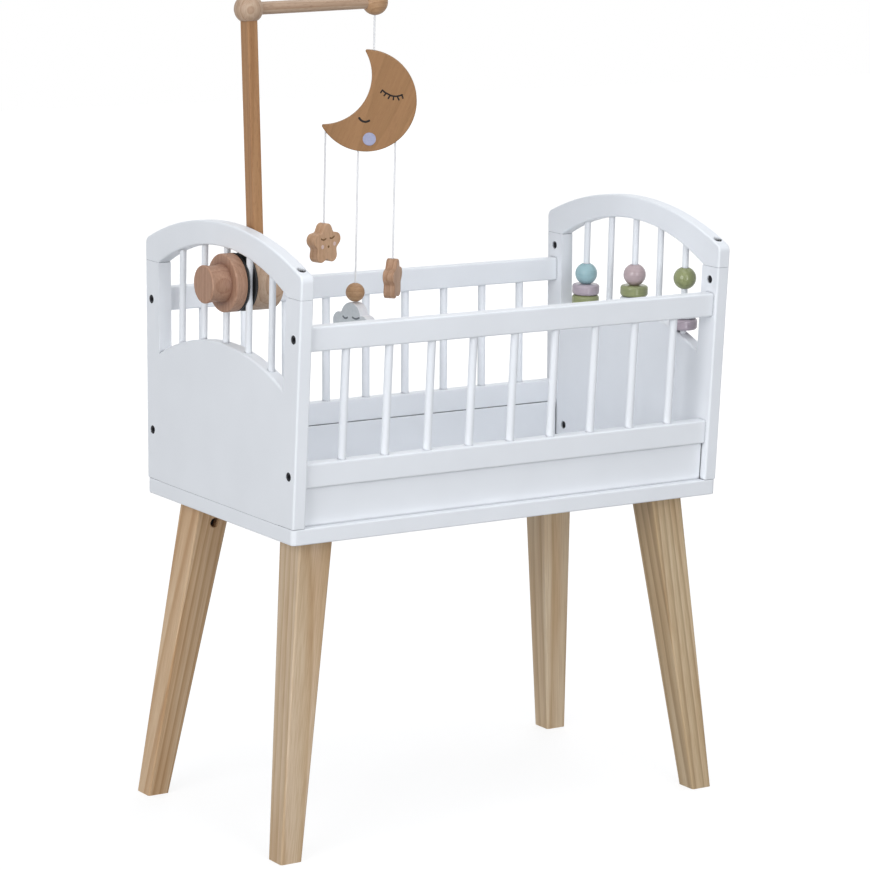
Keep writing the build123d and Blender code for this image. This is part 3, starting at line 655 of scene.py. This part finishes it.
beech_cuts = {
    "mast_post": (mast_foot, mast_head - mast_foot, (20.0, -60.0), mast_shades),
    "arm_rod": (arm_from, along_bed, (8.0, 34.0), grey_beech),
    "mast_ball": (arm_from, upright, (16.0, 40.0), grey_beech),
    "arm_end_ball": (arm_to, along_bed, (-18.0, 26.0), beech_shades),
    "clamp_knob": (knob_place, upright, (24.0, 30.0), knob_shades),
    "clamp_block": (knob_place, upright, (-28.0, 44.0), grey_beech),
    "string_ball": (star_place, along_bed, (9.0, 22.0), beech_shades),
    "left_star": (star_place, upright, (-14.0, 60.0), left_star_shades),
    "right_star": (star_place, upright, (22.0, -70.0), right_star_shades),
    "swivel_peg": (arm_from, upright, (6.0, 20.0), beech_shades),
    "joint_pins": (knob_place, upright, (14.0, 20.0), beech_shades),
}
for name, (start, along, pith, shades) in beech_cuts.items():
    dress([name], beech("beech_" + name, start, along, pith, shades))
print("beech", len(beech_cuts), "pieces")

# %% Moon, stained and oiled
# Stain fills the pores, so the flecks and veins are weaker than on the plain pieces.
moon_top = Vector(joints["moon_turn"]["pos_m"])
moon_grain, moon_pith = Vector((0.35, -0.2, 1.0)), (30.0, 90.0)
moon_shades = ("9E744A", "997046", "936B41")

moon_wood = beech("stained_moon", moon_top, moon_grain, moon_pith, moon_shades, 0.15, 0.3)
dress(["moon"], moon_wood)
print("moon", len(moon_wood.node_tree.nodes), "nodes")

# %% [markdown]
# ## Painted beads
# The beads are turned on a lathe and dipped in satin paint, so faint rings run round each of
# them and the lamps leave soft bright spots on the balls.
# A Wave texture would draw rings that are all alike. A noise drawn out along X and Y gives uneven
# ones, and they lie level because every bead has an upright axis.

# %% Satin paint
# The lathe's real lines are finer than a pixel, so they are drawn 0.9 mm apart.
paint_patch, lathe_line, lathe_depth = 14.0, 0.9, 0.06
paint_roughness, paint_spread, lathe_squeeze = 0.14, 0.12, (0.04, 0.04, 1.0)


def paint(name, colour, shade):
    """Paint over turned wood: slightly cloudy, with the lathe's level lines in it."""
    material, tree, shader, place = start_material(name)
    patches, coat = mottle(tree, place, paint_patch, 2.0, [(0.3, shade), (0.65, colour)])
    line_stops = [(0.32, "E2E0DE"), (0.5, "FFFFFF")]
    lines, worn = mottle(tree, place, lathe_line, 2.0, line_stops, lathe_squeeze)
    gloss_range = {"To Min": paint_roughness, "To Max": paint_roughness + paint_spread}
    gloss = add_node(tree, "ShaderNodeMapRange", {"Value": patches, **gloss_range})
    turned = add_node(
        tree, "ShaderNodeBump", {"Height": lines, "Strength": 0.3, "Distance": lathe_depth * mm}
    )
    lined = {0: 0.35, 6: coat, 7: worn}
    finish = {
        "Base Color": add_node(tree, "ShaderNodeMix", lined, **multiply).outputs[2],
        "Roughness": gloss.outputs["Result"],
        "Normal": turned.outputs["Normal"],
    }
    fill(tree, shader, finish)
    return material


print("lathe lines", lathe_line, "mm apart")


# %% Painted beads
# Two rings, hidden by the top rail in the photograph, are white like the bed.
bead_paints = {
    paint("turquoise_paint", "A9CBD0", "9DC0C6"): ["back_ball"],
    paint("pink_paint", "C6B2B4", "BCA7A9"): ["middle_ball"],
    paint("green_paint", "979D6E", "8D9365"): [
        "back_ring_lower",
        "middle_ring_upper",
        "front_ball",
    ],
    paint("lilac_paint", "BEB0B9", "B3A4AE"): ["back_ring_upper", "front_ring_lower"],
    lacquer: ["middle_ring_lower", "front_ring_upper"],
}
for coat, beads in bead_paints.items():
    dress(beads, coat)
    print(coat.name, "on", len(beads), "beads")

# %% [markdown]
# ## The cloud
# The cloud is a wooden plate with matt grey faces and paler edges, where the paint ends.
# The edge could be a second material on its own faces, but a CAD mesh is left as it is.
# So one material tells face from edge: it measures how far a point is from the plate's middle
# plane, along the plate's own normal.

# %% Face or edge of the cloud
pendant_turn = math.radians(-33.0)
cloud_turn = pendant_turn - math.radians(50.0)
cloud_normal = Vector((math.sin(cloud_turn), -math.cos(cloud_turn), 0))
cloud_top = Vector(joints["cloud_turn"]["pos_m"])
cloud_half, cloud_bevel, face_skin = 5.5, 0.7, 0.1
face_from, face_to = (cloud_half - cloud_bevel) * mm, (cloud_half - face_skin) * mm

cloud_paint, tree, shader, place = start_material("matt_grey_cloud")
from_top = add_node(
    tree, "ShaderNodeVectorMath", {0: place, 1: cloud_top}, operation="SUBTRACT"
)
across = add_node(
    tree,
    "ShaderNodeVectorMath",
    {0: from_top.outputs[0], 1: cloud_normal},
    operation="DOT_PRODUCT",
)
distance = add_node(
    tree, "ShaderNodeMath", {0: across.outputs["Value"]}, operation="ABSOLUTE"
)
on_face = add_node(
    tree,
    "ShaderNodeMapRange",
    {"Value": distance.outputs[0], "From Min": face_from, "From Max": face_to},
)
print("cloud faces", 2 * cloud_half, "mm apart")

# %% Matt paint
# Matt acrylic, brushed on: the bristles leave a low, even stipple that spreads the light.
bristle, stipple_height = 3.0, 0.08

brush, grey = mottle(tree, place, bristle, 3.0, [(0.3, "CDD2D4"), (0.7, "D6DADC")])
pale_stops = [(0.3, "EDEDF0"), (0.7, "F5F5F7")]
pale = add_node(tree, "ShaderNodeValToRGB", {"Fac": brush}, pale_stops)
either = {0: on_face.outputs["Result"], 6: pale.outputs["Color"], 7: grey}
stipple = add_node(
    tree, "ShaderNodeBump", {"Height": brush, "Strength": 0.3, "Distance": stipple_height * mm}
)
cloud_finish = {
    "Base Color": add_node(tree, "ShaderNodeMix", either, data_type="RGBA").outputs[2],
    "Roughness": 0.62,
    "Normal": stipple.outputs["Normal"],
}
fill(tree, shader, cloud_finish)
dress(["cloud"], cloud_paint)
print("cloud paint", len(tree.nodes), "nodes")

# %% [markdown]
# ## Metal
# Only bolt heads and a few ends of nuts show, deep in their holes. They are steel with a black
# oxide, which is dull and nearly black. The clamp's bolt is zinc plated, and its insert is brass.
# A plain metal of one gloss would look new from a computer, so a fine noise varies both the
# colour and the gloss. The oxide is a coat and not bare metal, so it isn't metallic in the shader.

# %% Metal
# The real finish is finer than a pixel, so it is drawn 0.8 mm wide.
metal_grit, grit_height, metal_spread = 0.8, 0.02, 0.15


def metal(name, dark, light, roughness, metallic=1.0):
    """Metal with a fine, uneven finish."""
    material, tree, shader, place = start_material(name)
    grit, colour = mottle(tree, place, metal_grit, 3.0, [(0.3, dark), (0.7, light)])
    gloss_range = {"To Min": roughness, "To Max": roughness + metal_spread}
    gloss = add_node(tree, "ShaderNodeMapRange", {"Value": grit, **gloss_range})
    uneven = add_node(
        tree, "ShaderNodeBump", {"Height": grit, "Strength": 0.2, "Distance": grit_height * mm}
    )
    finish = {
        "Base Color": colour,
        "Metallic": metallic,
        "Roughness": gloss.outputs["Result"],
        "Normal": uneven.outputs["Normal"],
    }
    fill(tree, shader, finish)
    return material


bolts = [name for name in frame["nodes"] if name.endswith("_bolts")]
black_oxide = metal("black_oxide_steel", "17171A", "26262B", 0.75, metallic=0.0)
dress(bolts + ["barrel_nuts"], black_oxide)
dress(["clamp_bolt"], metal("zinc_plated_steel", "A8AAAE", "C2C4C8", 0.32))
dress(["knob_insert"], metal("turned_brass", "A8863E", "C2A05A", 0.3))
print("metal", len(bolts) + 3, "pieces")

# %% [markdown]
# ## Rubber pads
# The clamp grips the spindles with two moulded rubber pads: nearly black and dull, with a dusty
# bloom in patches. Pure black would lose the pads' rims, so the bloom lifts the colour a little,
# and a fine bump breaks up what gloss there is.

# %% Rubber
# Real grains are finer than a pixel, so they are drawn 0.5 mm wide.
bloom_patch, rubber_grain, rubber_grain_height = 6.0, 0.5, 0.05

rubber, tree, shader, place = start_material("black_rubber")
bloom_stops = [(0.35, "161617"), (0.75, "252526")]
grains = add_node(
    tree, "ShaderNodeTexNoise", {"Vector": place, "Scale": per_mm(rubber_grain), "Detail": 2.0}
)
skin = add_node(
    tree,
    "ShaderNodeBump",
    {"Height": grains.outputs["Fac"], "Strength": 0.4, "Distance": rubber_grain_height * mm},
)
rubber_finish = {
    "Base Color": mottle(tree, place, bloom_patch, 4.0, bloom_stops)[1],
    "Roughness": 0.5,
    "Normal": skin.outputs["Normal"],
}
fill(tree, shader, rubber_finish)
dress(["outer_pad", "inner_pad"], rubber)
print("dressed", sum(bool(node.data.materials) for node in frame["nodes"].values()), "pieces")

# %% [markdown]
# ## Painted faces
# The moon, the stars and the cloud are asleep, with closed lids drawn with a thin brush. The
# moon and the stars have small mouths and round cheeks too.
# A picture on the surface would need an image file. Paint stands a little proud of the wood, so
# each stroke is a curve, and a Geometry Nodes tree lays a low, flat bead of paint along it.
# A round spot is a stroke that is only as long as it is wide.


# %% Face paint
# Acrylic paint: dull and a little uneven, so a stroke doesn't shine as it turns to a lamp.
brush_mark = 1.5


def face_paint(name, dark, light):
    """Dull paint for a brush."""
    material, tree, shader, place = start_material(name)
    colour = mottle(tree, place, brush_mark, 2.0, [(0.3, dark), (0.7, light)])[1]
    fill(tree, shader, {"Base Color": colour, "Roughness": 0.85})
    return material


ink = face_paint("dark_brown_ink", "140A05", "20120A")
star_ink = face_paint("soft_brown_ink", "6E4E2C", "7C5C36")
cloud_ink = face_paint("slate_grey_ink", "6A7074", "777D81")
moon_blush = face_paint("pale_violet_blush", "A0A2BE", "AAACC4")
star_blush = face_paint("pale_pink_blush", "DCC0B8", "E4CCC4")
print("paints", [coat.name for coat in (ink, star_ink, cloud_ink, moon_blush, star_blush)])

# %% Width of a brush stroke
# A stroke's half width is its points' radius. Near either end it shrinks as a circle does.
paint_thickness, stroke_step, least_half_width, stroke_sides = 0.12, 0.15, 0.03, 16


def round_ended(tree):
    """Half width along a stroke, drawn in to a half circle at either end."""
    half = add_node(tree, "GeometryNodeInputRadius").outputs[0]
    total = add_node(tree, "GeometryNodeSplineLength").outputs["Length"]
    along = add_node(tree, "GeometryNodeSplineParameter").outputs["Length"]
    ahead = add_node(tree, "ShaderNodeMath", {0: total, 1: along}, operation="SUBTRACT")
    nearest = add_node(
        tree, "ShaderNodeMath", {0: along, 1: ahead.outputs[0]}, operation="MINIMUM"
    )
    short = add_node(
        tree, "ShaderNodeMath", {0: half, 1: nearest.outputs[0]}, operation="SUBTRACT"
    )
    gap = add_node(tree, "ShaderNodeMath", {0: short.outputs[0], 1: 0.0}, operation="MAXIMUM")
    gap_squared = add_node(tree, "ShaderNodeMath", {0: gap.outputs[0], 1: 2.0}, operation="POWER")
    squared = add_node(tree, "ShaderNodeMath", {0: half, 1: 2.0}, operation="POWER")
    rest = add_node(
        tree,
        "ShaderNodeMath",
        {0: squared.outputs[0], 1: gap_squared.outputs[0]},
        operation="SUBTRACT",
    )
    root = add_node(tree, "ShaderNodeMath", {0: rest.outputs[0]}, operation="SQRT")
    least = least_half_width * mm
    return add_node(
        tree, "ShaderNodeMath", {0: root.outputs[0], 1: least}, operation="MAXIMUM"
    ).outputs[0]


# %% Flat top of a brush stroke
def flattened(tree, mesh, thickness):
    """A round tube, pressed to a thickness above the face and below it."""
    spot = add_node(tree, "GeometryNodeInputPosition").outputs[0]
    axes = add_node(tree, "ShaderNodeSeparateXYZ", {0: spot})
    low = add_node(tree, "ShaderNodeMath", {0: thickness, 1: -1.0}, operation="MULTIPLY")
    above = add_node(
        tree, "ShaderNodeMath", {0: axes.outputs["Z"], 1: low.outputs[0]}, operation="MAXIMUM"
    )
    level = add_node(
        tree, "ShaderNodeMath", {0: above.outputs[0], 1: thickness}, operation="MINIMUM"
    )
    pressed = add_node(
        tree,
        "ShaderNodeCombineXYZ",
        {"X": axes.outputs["X"], "Y": axes.outputs["Y"], "Z": level.outputs[0]},
    )
    moved = {"Geometry": mesh, "Position": pressed.outputs[0]}
    return add_node(tree, "GeometryNodeSetPosition", moved).outputs[0]


# %% Tree for brush strokes
def stroke_tree(name, material):
    """Tree that lays paint along every spline of a curve."""
    numbers = {"Thickness": paint_thickness * mm, "Step": stroke_step * mm}
    tree, given, sockets = start_tree(name, numbers)
    line = add_node(
        tree,
        "GeometryNodeResampleCurve",
        {"Curve": given.outputs["Geometry"], "Length": given.outputs["Step"]},
        mode="LENGTH",
    )
    circle = add_node(
        tree, "GeometryNodeCurvePrimitiveCircle", {"Resolution": stroke_sides, "Radius": 1.0}
    )
    tube_inputs = {
        "Curve": line.outputs[0],
        "Profile Curve": circle.outputs[0],
        "Scale": round_ended(tree),
        "Fill Caps": True,
    }
    tube = add_node(tree, "GeometryNodeCurveToMesh", tube_inputs)
    end_tree(tree, flattened(tree, tube.outputs[0], given.outputs["Thickness"]), material)
    return tree, sockets


# %% Place of a face
def on_plate(middle, turn, thickness):
    """Matrix of an upright plate's front: X to the viewer's right, Y up and Z out of it."""
    across = Vector((math.cos(turn), math.sin(turn), 0))
    outward = Vector((math.sin(turn), -math.cos(turn), 0))
    axes = Matrix((across, upright, outward)).transposed()
    return Matrix.Translation(middle + outward * thickness / 2 * mm) @ axes.to_4x4()


# %% Draw on a face
def brush_curve(name, strokes):
    """Curve with one smooth spline for each (width, points) stroke, in millimetres."""
    curve = bpy.data.curves.new(name, "CURVE")
    curve.dimensions = "3D"
    for width, points in strokes:
        spline = curve.splines.new("BEZIER")
        spline.bezier_points.add(len(points) - 1)
        for control, (across, height) in zip(spline.bezier_points, points):
            control.co = (across * mm, height * mm, 0)
            control.handle_left_type = control.handle_right_type = "AUTO"
            control.radius = width / 2 * mm
    curve_object = bpy.data.objects.new(name, curve)
    scene.collection.objects.link(curve_object)
    return curve_object


def spot_of(width, across, height):
    """Stroke as long as it is wide, which makes a round spot."""
    return width, [(across - width / 2, height), (across, height), (across + width / 2, height)]


def draw(name, body, material, matrix, strokes):
    """Painted strokes on a face, as one piece that rides with it."""
    tree, sockets = stroke_tree(name + "_strokes", material)
    sizes = {"Thickness": paint_thickness * mm}
    mesh = grown_mesh(brush_curve(name, strokes), tree, sockets, sizes)
    mesh.transform(matrix)
    for polygon in mesh.polygons:
        polygon.use_smooth = True
    add_piece(name, mesh, body)
    print(name, len(strokes), "strokes")


# %% Sleeping moon
# The string meets the round edge beside its top, which gives the height of the circle's middle.
moon_radius, moon_centre_offset, moon_thickness = 48.7, -6.7, 8.0
moon_rise = math.sqrt(moon_radius**2 - moon_centre_offset**2)
moon_middle = moon_top - Vector((0, 0, moon_rise * mm))

moon_plate = on_plate(moon_middle, pendant_turn, moon_thickness)
moon_lid = [
    (8.4, 11.2),
    (10.8, 8.9),
    (13.9, 7.2),
    (17.5, 5.6),
    (21.1, 5.0),
    (24.7, 5.5),
    (28.6, 6.9),
]
moon_lashes = [
    [(8.8, 10.6), (7.0, 7.7)],
    [(12.4, 7.8), (10.2, 4.8)],
    [(16.4, 5.9), (14.3, 2.2)],
    [(19.8, 4.9), (19.4, 1.1)],
    [(23.2, 5.0), (25.2, 1.0)],
    [(27.6, 6.4), (28.9, 2.7)],
]
moon_smile = [(-13.4, -15.7), (-11.0, -18.5), (-7.8, -20.0), (-4.8, -19.6), (-2.3, -18.3)]
lid_width, lash_width, smile_width = 1.6, 1.5, 2.1
moon_strokes = [(lid_width, moon_lid), (smile_width, moon_smile)]
moon_strokes += [(lash_width, lash) for lash in moon_lashes]
moon_cheek = spot_of(12.6, -2.7, -36.5)
draw("moon_drawing", "moon", ink, moon_plate, moon_strokes)
draw("moon_cheek", "moon", moon_blush, moon_plate, [moon_cheek])

# %% Sleeping stars
# The left star looks past the camera's right side. The right one shows the camera its back.
star_thickness, star_eye_width, star_turns = 11.0, 1.5, {"left": 50.0, "right": 77.0 + 180.0}
star_eyes = [
    [(-10.2, -14.0), (-6.5, -15.4), (-2.2, -14.3)],
    [(2.6, -14.2), (6.2, -14.7), (9.8, -12.8)],
]
star_mouth = spot_of(2.6, 1.2, -22.5)
star_strokes = [(star_eye_width, eye) for eye in star_eyes] + [star_mouth]
star_cheeks = [spot_of(4.0, -7.6, -22.2), spot_of(4.0, 10.0, -20.4)]

for side, turn in star_turns.items():
    star, middle = side + "_star", Vector(joints[side + "_star_turn"]["pos_m"])
    plate = on_plate(middle, pendant_turn + math.radians(turn), star_thickness)
    draw(star + "_drawing", star, star_ink, plate, star_strokes)
    draw(star + "_cheeks", star, star_blush, plate, star_cheeks)

# %% Sleeping cloud
cloud_eye_width = 1.8
cloud_eyes = [
    [(-11.8, -14.6), (-7.8, -16.4), (-3.6, -15.0)],
    [(2.4, -13.9), (8.0, -15.0), (14.0, -13.0)],
]
cloud_plate = on_plate(cloud_top, cloud_turn, 2 * cloud_half)
cloud_strokes = [(cloud_eye_width, eye) for eye in cloud_eyes]
draw("cloud_drawing", "cloud", cloud_ink, cloud_plate, cloud_strokes)

# %% [markdown]
# ## Floor and light
# The photograph stands on pure white, with no horizon.
# More light would bleach the bed as well as the ground. So the floor and the sky are white only
# to rays that are looked along, straight, in a reflection or through glass. That white adds
# nothing to the light on a dull surface, and the legs still leave a faint shade. The floor's glow
# grows a little with distance, where the lamps reach less of it.
# Broad lamps and an even sky, both a touch cool, light the bed at a plain level. The front has a
# high lamp, which reaches the inner sides over the rails, and a low one, which reaches the far legs.


# %% Rays that are looked along
def looked_along(tree):
    """1 for rays of the camera, of reflections and through glass, and 0 for light on things."""
    rays = add_node(tree, "ShaderNodeLightPath").outputs
    seen = rays["Is Camera Ray"]
    for kind in ("Is Glossy Ray", "Is Transmission Ray"):
        either = {0: seen, 1: rays[kind]}
        seen = add_node(tree, "ShaderNodeMath", either, operation="MAXIMUM").outputs[0]
    return seen


# %% White floor
# Matt studio board: it gives no gloss, and a broad, faint mottle varies the shade on it.
floor_size, floor_drop, floor_mottle = 12.0, 0.0002, 400.0
near_glow, far_glow, glow_from, glow_to = 0.79, 0.92, 0.6, 4.0

floor_white, tree, shader, place = start_material("white_ground")
board_stops = [(0.3, "8A8A8A"), (0.7, "8E8E8E")]
away = add_node(tree, "ShaderNodeVectorMath", {0: place}, operation="LENGTH")
glow_range = {"From Min": glow_from, "From Max": glow_to, "To Min": near_glow, "To Max": far_glow}
strength = add_node(tree, "ShaderNodeMapRange", {"Value": away.outputs["Value"], **glow_range})
glow = add_node(
    tree,
    "ShaderNodeMath",
    {0: looked_along(tree), 1: strength.outputs["Result"]},
    operation="MULTIPLY",
)
floor_finish = {
    "Base Color": mottle(tree, place, floor_mottle, 1.0, board_stops)[1],
    "Roughness": 0.9,
    "Emission Color": (1.0, 1.0, 1.0, 1.0),
    "Emission Strength": glow.outputs[0],
}
fill(tree, shader, floor_finish)

floor_mesh = bpy.data.meshes.new("floor")
half = floor_size / 2
corners = [(-half, -half), (half, -half), (half, half), (-half, half)]
floor_mesh.from_pydata([(x, y, -floor_drop) for x, y in corners], [], [(0, 1, 2, 3)])
floor_mesh.materials.append(floor_white)
floor = bpy.data.objects.new("floor", floor_mesh)
scene.collection.objects.link(floor)
floor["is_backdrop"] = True
print("floor", floor_size, "m wide")

# %% Sky
sky_strength = 0.38

sky = bpy.data.worlds.new("white_sky")
scene.world = sky
sky.use_nodes = True
tree = sky.node_tree
tree.nodes.clear()
even = add_node(
    tree, "ShaderNodeBackground", {"Color": linear("F3F8FF"), "Strength": sky_strength}
)
ground = add_node(
    tree, "ShaderNodeBackground", {"Color": (1.0, 1.0, 1.0, 1.0), "Strength": 1.0}
)
either = add_node(
    tree,
    "ShaderNodeMixShader",
    {0: looked_along(tree), 1: even.outputs["Background"], 2: ground.outputs["Background"]},
)
add_node(tree, "ShaderNodeOutputWorld", {"Surface": either.outputs["Shader"]})
print("sky strength", sky_strength)


# %% Lamps
# The lamp behind the bed is kept out of reflections, or it would edge every dowel with white.
def soft_lamp(name, position, aim, size, power):
    """Square area lamp that points at a place."""
    data = bpy.data.lights.new(name, "AREA")
    data.shape = "SQUARE"
    data.size = size
    data.energy = power
    data.color = linear("FAFCFF")[:3]
    lamp = bpy.data.objects.new(name, data)
    lamp.location = position
    lamp.rotation_euler = (aim - Vector(position)).to_track_quat("-Z", "Y").to_euler()
    scene.collection.objects.link(lamp)
    print(name, power, "W")
    return lamp


bed_middle = Vector((0, 0, 0.45))
soft_lamp("overhead", (0.3, -0.4, 2.8), bed_middle, 2.2, 22)
soft_lamp("head_side", (-2.9, -1.2, 1.25), bed_middle, 1.8, 47.5)
soft_lamp("front_high", (-0.4, -3.1, 1.6), bed_middle, 1.2, 15)
soft_lamp("front_low", (-0.4, -3.1, 0.4), bed_middle, 0.8, 15)
back_fill = soft_lamp("back_fill", (2.2, 2.4, 1.6), bed_middle, 2.0, 32)
back_fill.visible_glossy = False
scene.view_settings.view_transform = "Standard"

# %% [markdown]
# ## Sizes before and after
# The solids give the size of the bed, and the finished scene is measured the same way.
# Looking at the picture wouldn't show a millimetre, so both boxes are measured and printed.

# %% Measure the sizes
scene_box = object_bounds()


def plain(value):
    """Vectors and tuples as plain lists."""
    if isinstance(value, dict):
        return {key: plain(item) for key, item in value.items()}
    if isinstance(value, (int, float, str)) or value is None:
        return value
    return [plain(item) for item in value]


{"solids": plain(solid_box), "scene": plain(scene_box)}
print("solids", plain(solid_box))
print("scene", plain(scene_box))
